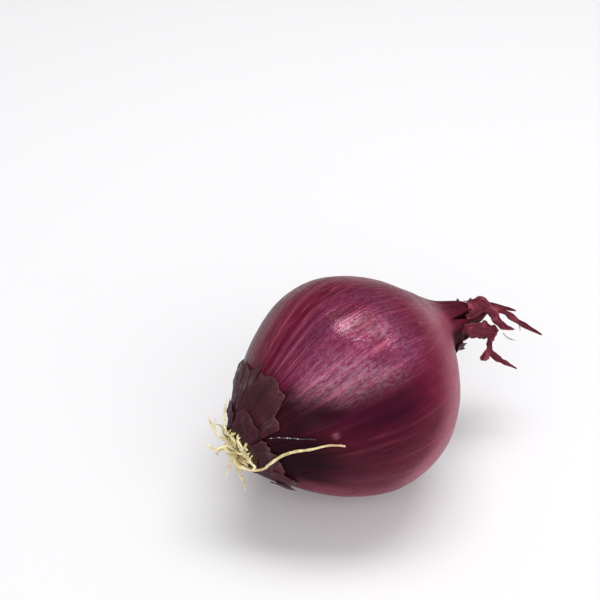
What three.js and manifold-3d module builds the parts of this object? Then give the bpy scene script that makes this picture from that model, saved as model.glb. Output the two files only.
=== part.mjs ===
// A red onion lying on its side: one bulb with a gathered neck, torn outer skins round the root
// end, a tuft of dry roots, and tattered dry leaves at the neck.
//
// Millimetres, +Z up. The origin is the middle of the small flat spot that the onion rests on.
// The root end points toward -X and the neck toward +X, with the neck end a little higher.
//
// A place on the bulb is given by its station and its angle. The station is the distance along
// the bulb's axis, from -46.5 at the root end to 48.5 at the end of the neck. The angle goes round
// the axis in degrees: 0 is the top, 90 faces -Y, 180 is underneath and -90 faces +Y.

import * as THREE from 'three';
import { mergeVertices } from 'three/addons/utils/BufferGeometryUtils.js';
import Module from 'manifold-3d';

const wasm = await Module();
wasm.setup();

// ---------------------------------------------------------------- driving dimensions

const LEAN = 7; // degrees that the neck end is raised
const REST_CUT = 0.6; // depth of the flat spot, which leaves a face about 13 mm across
const GAP = 0.3; // air between neighbouring solids
const SKIN = 0.25; // thickness of a torn skin
const LEAF = 0.4; // thickness of a dry leaf
const PLATE_RADIUS = 8; // the corky plate that the roots grow from
const PLATE_DEPTH = 2.2;
const ROOT_RADIUS = 0.4;
const LONG_ROOT_RADIUS = 0.5;
const FIBRE_RADIUS = 0.25;

const BULB_SIDES = 44;
const PLATE_SIDES = 20;
const SKIN_COLUMN = 4; // degrees covered by one column of a skin's facets

// The bulb's outline as [station, radius]; its largest diameter is 74 mm.
const OUTLINE = [
  [-46.5, 8.6], [-44, 11.8], [-40, 16.2], [-33, 23.4], [-24, 30.3], [-13, 35.7], [-5, 37.1], [3, 36.4],
  [11, 33.2], [19, 27.5], [26, 19.8], [31, 13.4], [36, 10.1], [42, 8.7], [46, 7.6], [48.5, 6.2],
];
const ROOT_END = OUTLINE[0][0];
const NECK_END = OUTLINE[OUTLINE.length - 1][0];

// How far the middle of each cross-section lies off the straight axis, as [station, distance].
const BOW = [
  [-46.5, -0.6], [-36, 0.3], [-25, 0.8], [0, 0.6], [14, 0.9], [24, 0.2], [31, -1.6], [36, -0.6],
  [42, 1.4], [48.5, 3.4],
];
const BOW_DIRECTION = new THREE.Vector3(0, -0.665, -0.745).normalize();

// ---------------------------------------------------------------- shared geometry

const { degToRad, clamp, lerp } = THREE.MathUtils;

const vector = (x, y, z) => new THREE.Vector3(x, y, z);

// The row of a table at which the interval that holds x starts.
function intervalOf(table, x) {
  let i = 0;
  while (i < table.length - 2 && x > table[i + 1][0]) i += 1;
  return i;
}

// A smooth curve through the rows of a table of [x, y].
function smooth(table, x) {
  const last = table.length - 1;
  const slopeAt = (i) => {
    const [x0, y0] = table[Math.max(i - 1, 0)];
    const [x1, y1] = table[Math.min(i + 1, last)];
    return (y1 - y0) / (x1 - x0);
  };
  const i = intervalOf(table, x);
  const [xa, ya] = table[i];
  const [xb, yb] = table[i + 1];
  const h = xb - xa;
  const t = clamp((x - xa) / h, 0, 1);
  const start = (2 * t ** 3 - 3 * t ** 2 + 1) * ya + (t ** 3 - 2 * t ** 2 + t) * h * slopeAt(i);
  const end = (3 * t ** 2 - 2 * t ** 3) * yb + (t ** 3 - t ** 2) * h * slopeAt(i + 1);
  return start + end;
}

// Straight lines between the rows of a table of [x, y], for torn edges.
function ragged(table, x) {
  const i = intervalOf(table, x);
  const [xa, ya] = table[i];
  const [xb, yb] = table[i + 1];
  return lerp(ya, yb, clamp((x - xa) / (xb - xa), 0, 1));
}

function bowAt(station) {
  return BOW_DIRECTION.clone().multiplyScalar(smooth(BOW, station));
}

// The point on the bulb's surface at a station and an angle, raised off it by lift.
function onBulb(station, angle, lift = 0) {
  const reach = 0.1;
  const slope = (smooth(OUTLINE, station + reach) - smooth(OUTLINE, station - reach)) / (2 * reach);
  const tilt = Math.atan(slope);
  const radius = smooth(OUTLINE, station) + lift * Math.cos(tilt);
  const turn = degToRad(angle);
  const point = vector(station - lift * Math.sin(tilt), -radius * Math.sin(turn), radius * Math.cos(turn));
  return point.add(bowAt(station));
}

// A point beyond the root end: out from the plate, across it downward at 135 degrees round the
// axis, and sideways across it at 45 degrees.
function offPlate(out, down, side) {
  const half = Math.SQRT1_2;
  const point = vector(ROOT_END - out, -(down + side) * half, (side - down) * half);
  return point.add(bowAt(ROOT_END));
}

function moveEachVertex(geometry, move) {
  const position = geometry.attributes.position;
  const vertex = new THREE.Vector3();
  for (let i = 0; i < position.count; i += 1) {
    vertex.fromBufferAttribute(position, i);
    const { x, y, z } = move(vertex);
    position.setXYZ(i, x, y, z);
  }
  geometry.computeVertexNormals();
  return geometry;
}

// ---------------------------------------------------------------- joins and cuts

function toSolid(geometry) {
  const bare = geometry.clone();
  bare.deleteAttribute('normal');
  bare.deleteAttribute('uv');
  const merged = mergeVertices(bare);
  const corners = merged.index.array;
  const kept = [];
  for (let i = 0; i < corners.length; i += 3) {
    const [a, b, c] = corners.slice(i, i + 3);
    if (a !== b && b !== c && c !== a) kept.push(a, b, c);
  }
  const vertProperties = new Float32Array(merged.attributes.position.array);
  return new wasm.Manifold(new wasm.Mesh({ numProp: 3, vertProperties, triVerts: new Uint32Array(kept) }));
}

function toGeometry(solid) {
  const { vertProperties, triVerts } = solid.getMesh();
  const geometry = new THREE.BufferGeometry();
  geometry.setAttribute('position', new THREE.BufferAttribute(new Float32Array(vertProperties), 3));
  geometry.setIndex(new THREE.BufferAttribute(new Uint32Array(triVerts), 1));
  geometry.computeVertexNormals();
  return geometry;
}

function joined(geometries) {
  return toGeometry(geometries.map(toSolid).reduce((whole, next) => whole.add(next)));
}

// ---------------------------------------------------------------- materials

const matte = (color, roughness) => new THREE.MeshStandardMaterial({ color, roughness, metalness: 0 });

const shinySkin = () => matte(0x7c3656, 0.35);
const tornSkin = () => matte(0x4a2b33, 0.7);
const paleSkin = () => matte(0x6d5a60, 0.6);
const cork = () => matte(0x7a5a3c, 0.95);
const dryRoot = () => matte(0xe5d9a8, 0.8);
const dryLeaf = () => matte(0x7a3b48, 0.75);

// ---------------------------------------------------------------- the group that holds it all

// The axis leans, and the bulb's lowest point sits below the origin by the depth of the flat spot.
function lowestPoint() {
  const lean = new THREE.Matrix4().makeRotationY(-degToRad(LEAN));
  const lowest = vector(0, 0, Infinity);
  const fineStation = 0.25;
  for (let station = ROOT_END; station <= NECK_END; station += fineStation) {
    for (let angle = 90; angle <= 270; angle += 1) {
      const point = onBulb(station, angle).applyMatrix4(lean);
      if (point.z < lowest.z) lowest.copy(point);
    }
  }
  return lowest;
}

const onion = new THREE.Group();
onion.rotation.y = -degToRad(LEAN);
onion.position.copy(lowestPoint()).negate();
onion.position.z -= REST_CUT;
onion.updateMatrixWorld();

function addPiece(name, geometry, material) {
  const mesh = new THREE.Mesh(geometry, material);
  mesh.name = name;
  onion.add(mesh);
}

// ---------------------------------------------------------------- bulb, neck and flat spot

// Turns a profile of [radius, station] points round the bulb's axis.
function turned(profile, sides) {
  const points = profile.map(([radius, station]) => new THREE.Vector2(radius, station));
  return new THREE.LatheGeometry(points, sides).rotateZ(-Math.PI / 2);
}

function bulbGeometry() {
  const profile = [[0, ROOT_END]];
  for (let i = 0; i < OUTLINE.length - 1; i += 1) {
    const [here] = OUTLINE[i];
    const [next] = OUTLINE[i + 1];
    const middle = (here + next) / 2;
    profile.push([smooth(OUTLINE, here), here], [smooth(OUTLINE, middle), middle]);
  }
  profile.push([smooth(OUTLINE, NECK_END), NECK_END], [0, NECK_END]);
  return moveEachVertex(turned(profile, BULB_SIDES), (p) => p.add(bowAt(p.x)));
}

function belowRestPlane() {
  const width = 80;
  const slab = new THREE.BoxGeometry(width, width, width).translate(0, 0, -width / 2);
  return slab.applyMatrix4(onion.matrixWorld.clone().invert());
}

const restingBulb = toSolid(bulbGeometry()).subtract(toSolid(belowRestPlane()));
addPiece('bulb', toGeometry(restingBulb), shinySkin());

// ---------------------------------------------------------------- root plate

function plateGeometry() {
  const face = ROOT_END - GAP;
  const rings = 5;
  const profile = [];
  for (let i = 0; i <= rings; i += 1) {
    const turn = (Math.PI / 2) * (i / rings);
    profile.push([PLATE_RADIUS * Math.sin(turn), face - PLATE_DEPTH * Math.cos(turn)]);
  }
  profile.push([0, face]);
  return moveEachVertex(turned(profile, PLATE_SIDES), (p) => p.add(bowAt(ROOT_END)));
}

addPiece('root_plate', plateGeometry(), cork());

// ---------------------------------------------------------------- torn skins round the root end

// A thin sheet wrapped on the bulb between two edges, each a table of [angle, station].
function wrappedSheet(rootEdge, tornEdge, lift, rows) {
  const from = tornEdge[0][0];
  const to = tornEdge[tornEdge.length - 1][0];
  const columns = Math.max(3, Math.round((to - from) / SKIN_COLUMN));
  return moveEachVertex(new THREE.BoxGeometry(1, 1, 1, columns, rows, 1), ({ x, y, z }) => {
    const angle = lerp(from, to, x + 0.5);
    const station = lerp(ragged(rootEdge, angle), ragged(tornEdge, angle), y + 0.5);
    return onBulb(station, angle, lift + SKIN * (z + 0.5));
  });
}

const RIM = -46.2; // the skins end here, at the edge of the root plate

const UPPER_SKIN_EDGE = [
  [-166, -40], [-150, -37.5], [-138, -38.6], [-122, -35.2], [-104, -36.8], [-90, -33.6], [-74, -34.6],
  [-51, -31], [-26, -34.4], [-18, -31.8], [-14, -37], [-10, -33.4], [7, -32.5], [19, -33.2], [23, -36.2],
  [27, -38.4], [39, -38.8],
];
const LOWER_SKIN_EDGE = [
  [41, -43.4], [52, -43.2], [63, -43.2], [72, -42.2], [84, -42], [101, -42], [107, -40.6], [113, -38.7],
  [128, -39.4], [140, -37.6], [156, -39.8], [172, -38.2], [191, -41],
];

addPiece('outer_skin_upper', wrappedSheet([[-166, RIM], [39, RIM]], UPPER_SKIN_EDGE, GAP, 3), tornSkin());
addPiece('outer_skin_lower', wrappedSheet([[41, RIM], [191, RIM]], LOWER_SKIN_EDGE, GAP, 2), tornSkin());

const PALE_EDGE = [[43, -41.8], [46, -40], [50, -38], [54, -35.8], [58, -32.5]];
const PALE_EDGE_WIDTH = 1.2;
const paleRootSide = PALE_EDGE.map(([angle, station]) => [angle, station - PALE_EDGE_WIDTH]);

addPiece('pale_skin_edge', wrappedSheet(paleRootSide, PALE_EDGE, GAP, 1), paleSkin());

// Loose flakes lie on the skins: each has the edge toward the roots, then the other edge.
const FLAKES = [
  {
    rootEdge: [[-64, -43.6], [-46, -45.8], [-24, -46]],
    tornEdge: [[-64, -42.6], [-50, -41], [-38, -43.4], [-24, -44.4]],
  },
  {
    rootEdge: [[-16, -46], [4, -45.2], [20, -46], [36, -45.4]],
    tornEdge: [[-16, -43.8], [-6, -42.2], [6, -42.4], [18, -43], [28, -42.8], [36, -44.6]],
  },
  {
    rootEdge: [[96, -44], [104, -43.4], [118, -42]],
    tornEdge: [[96, -43.2], [104, -40.4], [110, -38.6], [118, -41.2]],
  },
  {
    rootEdge: [[128, -42.8], [140, -42], [152, -42.6]],
    tornEdge: [[128, -41.8], [138, -37.4], [144, -38.6], [152, -41.8]],
  },
  {
    rootEdge: [[-132, -44.6], [-116, -45.4], [-96, -44.8]],
    tornEdge: [[-132, -43], [-118, -40.2], [-108, -41.8], [-96, -43.6]],
  },
];

FLAKES.forEach(({ rootEdge, tornEdge }, i) => {
  addPiece(`skin_flake_${i + 1}`, wrappedSheet(rootEdge, tornEdge, GAP + SKIN + GAP, 1), tornSkin());
});

// ---------------------------------------------------------------- roots

// A round cord of six sides along a curve through hand-picked points.
function cordGeometry(route, radius, stepLength) {
  const curve = new THREE.CatmullRomCurve3(route);
  const section = new THREE.Shape().absarc(0, 0, radius, 0, 2 * Math.PI);
  const steps = Math.max(4, Math.round(curve.getLength() / stepLength));
  const sweep = { steps, curveSegments: 3, bevelEnabled: false, extrudePath: curve };
  return new THREE.ExtrudeGeometry(section, sweep);
}

// Each root's route in [out, down, side] off the root plate, starting just clear of it.
const ROOT_ROUTES = [
  [[2.4, -5.2, 2], [2.9, -8, 1.6], [1.2, -11.6, 1], [-0.9, -14.1, 0.5], [-3.2, -16.4, 0]],
  [[2.6, -4.2, -2.4], [2.8, -6.6, -3], [2.2, -9.2, -2.6], [4, -11.5, -2]],
  [[3.1, -2.6, -0.6], [3.9, -5.4, -0.4], [5.1, -7, 0], [5.6, -9.9, 0], [5.3, -13, 0], [4.8, -15.2, 0]],
  [[3.1, -1.2, 1], [4.6, -3.4, 1.5], [6.4, -4.1, 2], [9.1, -4.7, 2], [10.1, -6.7, 2], [10.1, -8.8, 2]],
  [[3, 0.8, -0.6], [5.1, 0.1, -0.2], [7.8, 1.4, 0]],
  [[2.8, 3.4, -2.6], [4.5, 4, -2.2], [5, 5.5, -2], [5.4, 7.8, -2]],
  [[3, 1.6, 0.6], [4.4, 1.7, 1.1], [4.4, 3.2, 1.4], [3.2, 5, 1.9], [2.4, 6.8, 2.3]],
  [[2.7, 0.8, 4.4], [2.7, 2.4, 5.4], [2.5, 4.2, 6.1], [2, 5.9, 6.6], [3.2, 6.4, 5.6], [4.4, 5.2, 5.2]],
  [[2.4, -5.8, 3.6], [3.4, -5.4, 4.4], [3.2, -3.8, 4.8], [3.9, -2.2, 4.6]],
  [[2, -4, 5.6], [2.8, -3.6, 6.6], [2.7, -2.2, 7], [2.8, -0.8, 7.2]],
  [[3, -1.4, -2], [3.8, -2.6, -1.9], [4.9, -1.2, -1.6], [4.9, 0.4, -2]],
  [[2.8, -1.6, 3], [4.2, -1.2, 4.2], [3.8, 0.2, 5.6], [2.8, 0.4, 7]],
  [[2.8, 2.6, 2.8], [3.9, 2.8, 3.7], [3.3, 4.2, 4], [3, 5.4, 3.3]],
  [[3, -0.2, 0.2], [4.6, -1.2, -0.2], [5.4, -3.4, -1.2], [6.8, -3.8, -1.8]],
  [[2.4, 5, -4], [4, 6.6, -5], [3.8, 9.5, -6], [4.8, 12.5, -6.4]],
  [[2.5, -1.6, -5], [4.6, -2.6, -7], [5.8, -2, -10], [4.8, -1, -13]],
  [[2.6, 1.6, -4.4], [4.6, 2.6, -6.2], [5.8, 4.4, -8.4], [7.6, 6.4, -9.6]],
  [[2.2, -4.8, -4.8], [3.6, -7, -6.4], [2.8, -9.5, -8.6], [0.2, -12, -10.4]],
];
const ROOT_STEP = 1.6;

ROOT_ROUTES.forEach((stops, i) => {
  const route = stops.map(([out, down, side]) => offPlate(out, down, side));
  const name = `root_${String(i + 1).padStart(2, '0')}`;
  addPiece(name, cordGeometry(route, ROOT_RADIUS, ROOT_STEP), dryRoot());
});

// One long root bends back round the rim and lies along the bulb.
function longRootRoute() {
  const offThePlate = [
    [2.9, -0.6, 2.8], [5.6, 0.6, 3.2], [5.8, 3, 3.4], [4.2, 5, 3.9], [2.2, 6.9, 5.1], [-0.2, 8.1, 7.1],
  ];
  const alongTheBulb = [
    [-43.8, 75, 2.1], [-40.6, 65, 1.9], [-37.7, 63, 1.7], [-34, 63.5, 1.6], [-30, 63.5, 1.5],
    [-26.4, 66.5, 1.4],
  ];
  return [
    ...offThePlate.map(([out, down, side]) => offPlate(out, down, side)),
    ...alongTheBulb.map(([station, angle, lift]) => onBulb(station, angle, lift)),
  ];
}

addPiece('root_long', cordGeometry(longRootRoute(), LONG_ROOT_RADIUS, ROOT_STEP), dryRoot());

// ---------------------------------------------------------------- dry leaves at the neck

// A flat strip along a curve. Its face looks toward facing, which turns from its first value to
// its last, and its sides fall back by cup times the half-width.
function stripGeometry({ route, halfWidths, facing, cup = 0.25 }) {
  const curve = new THREE.CatmullRomCurve3(route);
  const [faceAtStart, faceAtEnd] = facing.map((direction) => vector(...direction));
  const widths = halfWidths.map((width, i) => [i / (halfWidths.length - 1), width]);
  const steps = (route.length - 1) * 3;
  return moveEachVertex(new THREE.BoxGeometry(1, 2, 1, steps, 2, 1), ({ x, y, z }) => {
    const along = x + 0.5;
    const tangent = curve.getTangent(along);
    const outward = faceAtStart.clone().lerp(faceAtEnd, along);
    const side = outward.cross(tangent).normalize();
    const normal = tangent.clone().cross(side);
    const width = ragged(widths, along);
    const raise = LEAF * z - cup * width * y ** 2;
    return curve.getPoint(along).addScaledVector(side, width * y).addScaledVector(normal, raise);
  });
}

// The neck's lower lip is torn loose and hangs off as a sheet with two lobes and a spike.
function looseLip() {
  const sheet = stripGeometry({
    route: [
      onBulb(37.4, 64, 0.9), onBulb(41.4, 74, 1.1), vector(44.4, -10.9, 0.3), vector(47.2, -11.9, -1.5),
      vector(48.9, -13.2, -3.2),
    ],
    halfWidths: [1.8, 2.8, 3.2, 3, 1.8],
    facing: [[0, -0.9, 0.45], [-0.3, -0.95, 0.15]],
    cup: 0.12,
  });
  const stem = stripGeometry({
    route: [vector(46.9, -12.2, -3.6), vector(46, -13.1, -6), vector(45, -14, -8.4)],
    halfWidths: [1.3, 1, 1.3],
    facing: [[-0.4, -0.8, 0.3], [-0.4, -0.7, 0.5]],
  });
  const leftLobe = stripGeometry({
    route: [vector(45.4, -13.8, -7.2), vector(43.6, -13.8, -8.6), vector(42.5, -13.9, -10.8)],
    halfWidths: [1, 1.9, 1.1],
    facing: [[-0.4, -0.7, 0.5], [-0.4, -0.7, 0.6]],
  });
  const spike = stripGeometry({
    route: [
      vector(45.2, -14, -7.6), vector(46, -16.4, -9.6), vector(47.8, -19, -11.4),
      vector(50.3, -21.9, -13.8),
    ],
    halfWidths: [1, 1.3, 0.8, 0.3],
    facing: [[-0.4, -0.7, 0.5], [-0.4, -0.6, 0.7]],
  });
  return joined([sheet, stem, leftLobe, spike]);
}

addPiece('neck_loose_lip', looseLip(), dryLeaf());

const LEAVES = [
  {
    name: 'neck_upper_leaf',
    route: [
      onBulb(43.5, 8, 1.2), onBulb(47, 12, 1.5), vector(50.6, -4.2, 5.1), vector(52.6, -7.2, 1.8),
      vector(53.8, -9, -2.2), vector(55.4, -10.9, -4.9), vector(58.2, -12.2, -7.2),
    ],
    halfWidths: [3.4, 3.3, 2.4, 1.9, 1.7, 1.3, 0.4],
    facing: [[0, -0.15, 1], [-0.3, -0.7, 0.6]],
    cup: 0.2,
  },
  {
    name: 'neck_fold',
    route: [onBulb(40.6, 43, 1), vector(44.4, -8.2, 7.1), vector(48.2, -9, 7.4)],
    halfWidths: [0.8, 1.2, 0.6],
    facing: [[0, -0.6, 0.8], [-0.2, -0.4, 0.9]],
  },
  {
    name: 'neck_spike',
    route: [
      vector(49.1, -0.8, 0.4), vector(52.6, -1.2, 0.6), vector(57.1, -2.6, -1.2), vector(61.1, -4.8, -3.6),
      vector(64.3, -6.9, -5.7),
    ],
    halfWidths: [1.2, 1.3, 1.1, 0.7, 0.3],
    facing: [[0, -0.5, 0.9], [0, -0.4, 0.9]],
  },
  {
    name: 'neck_long_leaf',
    route: [
      vector(49.1, -4, -1.6), vector(52.6, -4.6, 0), vector(55.4, -6.1, 0.5), vector(58, -8.9, -1.4),
      vector(59.8, -12, -3.9), vector(62.4, -15.2, -6.8), vector(65.4, -18.6, -9.8),
    ],
    halfWidths: [1.2, 1.2, 1, 1, 0.9, 0.8, 0.3],
    facing: [[0.2, -0.6, 0.8], [-0.3, -0.4, 0.9]],
  },
  {
    name: 'neck_far_leaf',
    route: [vector(49.9, 1.2, -3.6), vector(52.5, 3.4, -4.4), vector(56, 6, -7.4), vector(58.5, 8.5, -11.4)],
    halfWidths: [1.4, 1.5, 1, 0.3],
    facing: [[0.2, 0.6, 0.8], [0.4, 0.5, 0.8]],
  },
  {
    name: 'neck_side_leaf',
    route: [
      onBulb(40.5, -92, 1.2), onBulb(45.5, -96, 1.9), vector(50, 8.4, -3.2), vector(53.4, 11.4, -5.4),
    ],
    halfWidths: [2, 2, 1.3, 0.3],
    facing: [[0, 1, 0], [0.3, 0.9, 0.1]],
  },
  {
    name: 'neck_under_leaf',
    route: [onBulb(41, 178, 1.4), onBulb(45.5, 182, 2.2), vector(49.8, 0.8, -12.2), vector(51.8, 1.6, -14.4)],
    halfWidths: [2, 1.9, 1.2, 0.3],
    facing: [[0, -0.4, -0.9], [0.5, -0.4, -0.8]],
  },
];

LEAVES.forEach((leaf) => addPiece(leaf.name, stripGeometry(leaf), dryLeaf()));

// A ragged cuff of dark skin is wrapped round the underside of the neck.
const CUFF_BASE = [[96, 33.6], [130, 32.6], [170, 33.4], [206, 34.2]];
const CUFF_EDGE = [
  [96, 36.4], [104, 38.6], [116, 37.4], [130, 39.2], [146, 37], [166, 38.8], [186, 36.8], [206, 37.6],
];

addPiece('neck_cuff', wrappedSheet(CUFF_BASE, CUFF_EDGE, GAP, 2), tornSkin());

// Loose fibres hang between the leaves.
const FIBRES = [
  [vector(60.4, -9.2, -4), vector(61, -11.6, -5.9), vector(59.4, -14.2, -7.6)],
  [vector(54, -11.2, -6.8), vector(54.6, -13, -8.2), vector(56.8, -14.8, -9.8)],
];

FIBRES.forEach((route, i) => {
  addPiece(`neck_fibre_${i + 1}`, cordGeometry(route, FIBRE_RADIUS, ROOT_STEP), dryLeaf());
});

export default onion;
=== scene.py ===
# A red onion lying on its side, on a pale floor. Metres, +Z up; the onion rests on the origin, with
# its root end toward -X and its neck toward +X. Sizes on the bulb are worked out in millimetres.
import math
import random

import bpy
import numpy as np
from mathutils import Matrix, Vector, noise


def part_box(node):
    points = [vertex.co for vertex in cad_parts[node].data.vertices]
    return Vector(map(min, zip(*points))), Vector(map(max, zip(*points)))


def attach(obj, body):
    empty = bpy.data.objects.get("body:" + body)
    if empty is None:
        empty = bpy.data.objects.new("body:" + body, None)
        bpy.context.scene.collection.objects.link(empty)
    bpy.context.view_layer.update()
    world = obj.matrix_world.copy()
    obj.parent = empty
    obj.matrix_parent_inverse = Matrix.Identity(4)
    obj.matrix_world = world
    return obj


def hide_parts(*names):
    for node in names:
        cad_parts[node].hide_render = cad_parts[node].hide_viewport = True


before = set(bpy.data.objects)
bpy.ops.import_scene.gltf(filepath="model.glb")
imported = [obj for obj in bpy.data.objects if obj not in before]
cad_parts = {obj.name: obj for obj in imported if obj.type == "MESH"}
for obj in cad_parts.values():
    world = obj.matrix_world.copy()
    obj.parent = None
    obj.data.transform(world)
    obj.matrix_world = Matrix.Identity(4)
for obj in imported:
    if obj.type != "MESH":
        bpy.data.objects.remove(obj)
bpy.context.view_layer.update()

bpy.ops.object.select_all(action="DESELECT")
MM = 0.001


# ---------------------------------------------------------------- camera
# A 70 mm lens looks down over the root end and the near side. It aims past the belly, upward and
# away, so the onion lies low in the picture.
bulb_low, bulb_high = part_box("bulb")
view_turn, view_height, view_distance = math.radians(-36.56), math.radians(38), 0.385
AIM_PAST_BULB = Vector((-0.0075, 0.0249, 0.0209))
aim = (bulb_low + bulb_high) / 2 + AIM_PAST_BULB
view_back = Vector((
    math.sin(view_turn) * math.cos(view_height),
    -math.cos(view_turn) * math.cos(view_height),
    math.sin(view_height),
))
bpy.ops.object.camera_add(location=aim + view_back * view_distance)
camera = bpy.context.object
camera.rotation_mode = "QUATERNION"
camera.rotation_quaternion = view_back.to_track_quat("Z", "Y")
camera.data.lens = 70
camera.data.sensor_width = 36
bpy.context.scene.camera = camera


# ---------------------------------------------------------------- bulb and neck
# The bulb is wrapped in one glossy purple skin, drawn together into a wrinkled neck at the top.
# A place on it has a station, in millimetres along its axis from the root end to the neck, and an
# angle round the axis in degrees: 0 is the top, 90 the near side, 180 underneath.
LEAN = math.radians(7)
REST_CUT = 0.6  # how far the belly is pressed flat where it rests
BELLY_RADIUS = 37
# The outline is (station, radius), and the bow is how far the axis bends aside at each station.
OUTLINE = [
    (-46.5, 8.6), (-44, 11.8), (-40, 16.2), (-33, 23.4), (-24, 30.3), (-13, 35.7), (-5, 37.1), (3, 36.4),
    (11, 33.2), (19, 27.5), (26, 19.8), (31, 13.4), (36, 10.1), (42, 8.7), (46, 7.6), (48.5, 6.2),
]
BOW = [
    (-46.5, -0.6), (-36, 0.3), (-25, 0.8), (0, 0.6), (14, 0.9), (24, 0.2), (31, -1.6), (36, -0.6),
    (42, 1.4), (48.5, 3.4),
]
BOW_DIRECTION = np.array([0, -0.665, -0.745]) / math.hypot(0.665, 0.745)
ROOT_END, NECK_END = OUTLINE[0][0], OUTLINE[-1][0]


def smooth(table, x):
    """A smooth curve through the rows of a table of (x, y)."""
    xs, ys = np.array(table, float).T
    slopes = np.empty_like(ys)
    slopes[1:-1] = (ys[2:] - ys[:-2]) / (xs[2:] - xs[:-2])
    slopes[0] = (ys[1] - ys[0]) / (xs[1] - xs[0])
    slopes[-1] = (ys[-1] - ys[-2]) / (xs[-1] - xs[-2])
    i = np.clip(np.searchsorted(xs, x) - 1, 0, len(xs) - 2)
    h = xs[i + 1] - xs[i]
    t = np.clip((x - xs[i]) / h, 0, 1)
    start = (2 * t**3 - 3 * t**2 + 1) * ys[i] + (t**3 - 2 * t**2 + t) * h * slopes[i]
    end = (3 * t**2 - 2 * t**3) * ys[i + 1] + (t**3 - t**2) * h * slopes[i + 1]
    return start + end


def ease(low, high, x):
    """0 below low, 1 above high, and an even slope between them."""
    t = np.clip((np.asarray(x, float) - low) / (high - low), 0, 1)
    return t * t * (3 - 2 * t)


def off_axis(station, angle, radius):
    """Points in millimetres along the bulb's own axis, at a radius round its bowed middle."""
    turn = np.radians(angle)
    station, turn, radius = np.broadcast_arrays(station, turn, radius)
    bow = smooth(BOW, station)[..., None] * BOW_DIRECTION
    return np.stack([station, -radius * np.sin(turn), radius * np.cos(turn)], -1) + bow


def leaned(points):
    """Turns points from the bulb's own axis to the leaning onion's."""
    x, y, z = np.moveaxis(points, -1, 0)
    lean_cos, lean_sin = math.cos(LEAN), math.sin(LEAN)
    return np.stack([x * lean_cos - z * lean_sin, y, x * lean_sin + z * lean_cos], -1)


stations = np.arange(ROOT_END, NECK_END, 0.25)[:, None]
belly = leaned(off_axis(stations, np.arange(90, 271)[None, :], smooth(OUTLINE, stations))).reshape(-1, 3)
lowest = belly[belly[:, 2].argmin()]


def resting(points):
    """Takes points in millimetres along the bulb's own axis to metres on the floor."""
    return (leaned(np.asarray(points, float)) - lowest - (0, 0, REST_CUT)) * MM


def on_bulb(station, angle, lift=0.0):
    """Points in millimetres along the bulb's own axis, lifted off its skin."""
    reach = 0.1
    slope = (smooth(OUTLINE, station + reach) - smooth(OUTLINE, station - reach)) / (2 * reach)
    tilt = np.arctan(slope)
    points = off_axis(station, angle, smooth(OUTLINE, station) + lift * np.cos(tilt))
    points[..., 0] -= lift * np.sin(tilt)
    return points


def grain(around, along, angle, station, seed):
    """Noise from -1 to 1 that runs along the bulb: so many waves round it, and so long in mm."""
    turn = np.radians(angle)
    spots = np.stack(np.broadcast_arrays(
        np.cos(turn) * around + seed, np.sin(turn) * around - seed, np.asarray(station, float) / along + seed,
    ), -1)
    return np.array([noise.noise(spot) for spot in spots.reshape(-1, 3)]).reshape(spots.shape[:-1])


def corners_of(piece):
    flat = np.empty(len(piece.data.vertices) * 3)
    piece.data.vertices.foreach_get("co", flat)
    return flat.reshape(-1, 3)


def shape(piece, points):
    piece.data.vertices.foreach_set("co", np.ascontiguousarray(points).ravel())
    piece.data.update()


def paint(piece, name, values):
    """Stores a number or a vector for each corner of a piece, for its material to read."""
    values = np.asarray(values, float)
    kind = "FLOAT_VECTOR" if values.ndim == 2 else "FLOAT"
    layer = piece.data.attributes.new(name, kind, "POINT")
    layer.data.foreach_set("vector" if values.ndim == 2 else "value", values.ravel())


def paint_place(piece, angle, station, twist=0.0):
    """Stores where each corner is, so that veins run from root to neck with no seam."""
    turn = np.radians(angle + twist)
    paint(piece, "place", np.stack([np.cos(turn), np.sin(turn), np.asarray(station) / BELLY_RADIUS], -1))


def face_outward():
    """Turns the faces of the active piece outward, and smooths its shading."""
    bpy.ops.object.mode_set(mode="EDIT")
    bpy.ops.mesh.select_all(action="SELECT")
    bpy.ops.mesh.normals_make_consistent(inside=False)
    bpy.ops.object.mode_set(mode="OBJECT")
    bpy.ops.object.shade_smooth()


# The skin's path from the middle of the root end, over the bulb, and into the open neck.
skin_stations = np.linspace(ROOT_END, NECK_END, 300)
root_disc = [(ROOT_END, 0)]
neck_mouth = [(48.8, 5.6), (48.4, 4.9), (46.5, 4.2), (44, 3.0), (43, 0)]
path = np.array(root_disc + list(zip(skin_stations, smooth(OUTLINE, skin_stations))) + neck_mouth)
run = np.concatenate([[0], np.cumsum(np.hypot(*np.diff(path, axis=0).T))])
mouth_run = run[-len(neck_mouth)]

bpy.ops.mesh.primitive_uv_sphere_add(segments=360, ring_count=240, radius=1)
bulb = bpy.context.object
bulb.name = "onion_bulb"
ball = corners_of(bulb)
share = 1 - np.arccos(np.clip(ball[:, 2], -1, 1)) / math.pi
angle = np.degrees(np.arctan2(ball[:, 1], ball[:, 0]))
along = share * run[-1]
station = np.interp(along, run, path[:, 0])
radius = np.interp(along, run, path[:, 1])
inside = ease(mouth_run, mouth_run + 3, along)

# Soft lumps and long ridges on the belly grow into deep folds on the neck.
neckness = ease(24, 40, station) * (1 - inside)
lumps = 0.3 * grain(1.2, 28, angle, station, 3) - 0.25
ridges = 0.16 * grain(7, 70, angle, station, 7) * ease(-48, -30, station)
folds = 0.75 * grain(2.6, 16, angle, station, 11) + 0.5 * grain(6, 22, angle, station, 17)
radius = radius + (lumps + ridges) * (1 - neckness) * (1 - inside) + (folds - 0.3) * neckness

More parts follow.
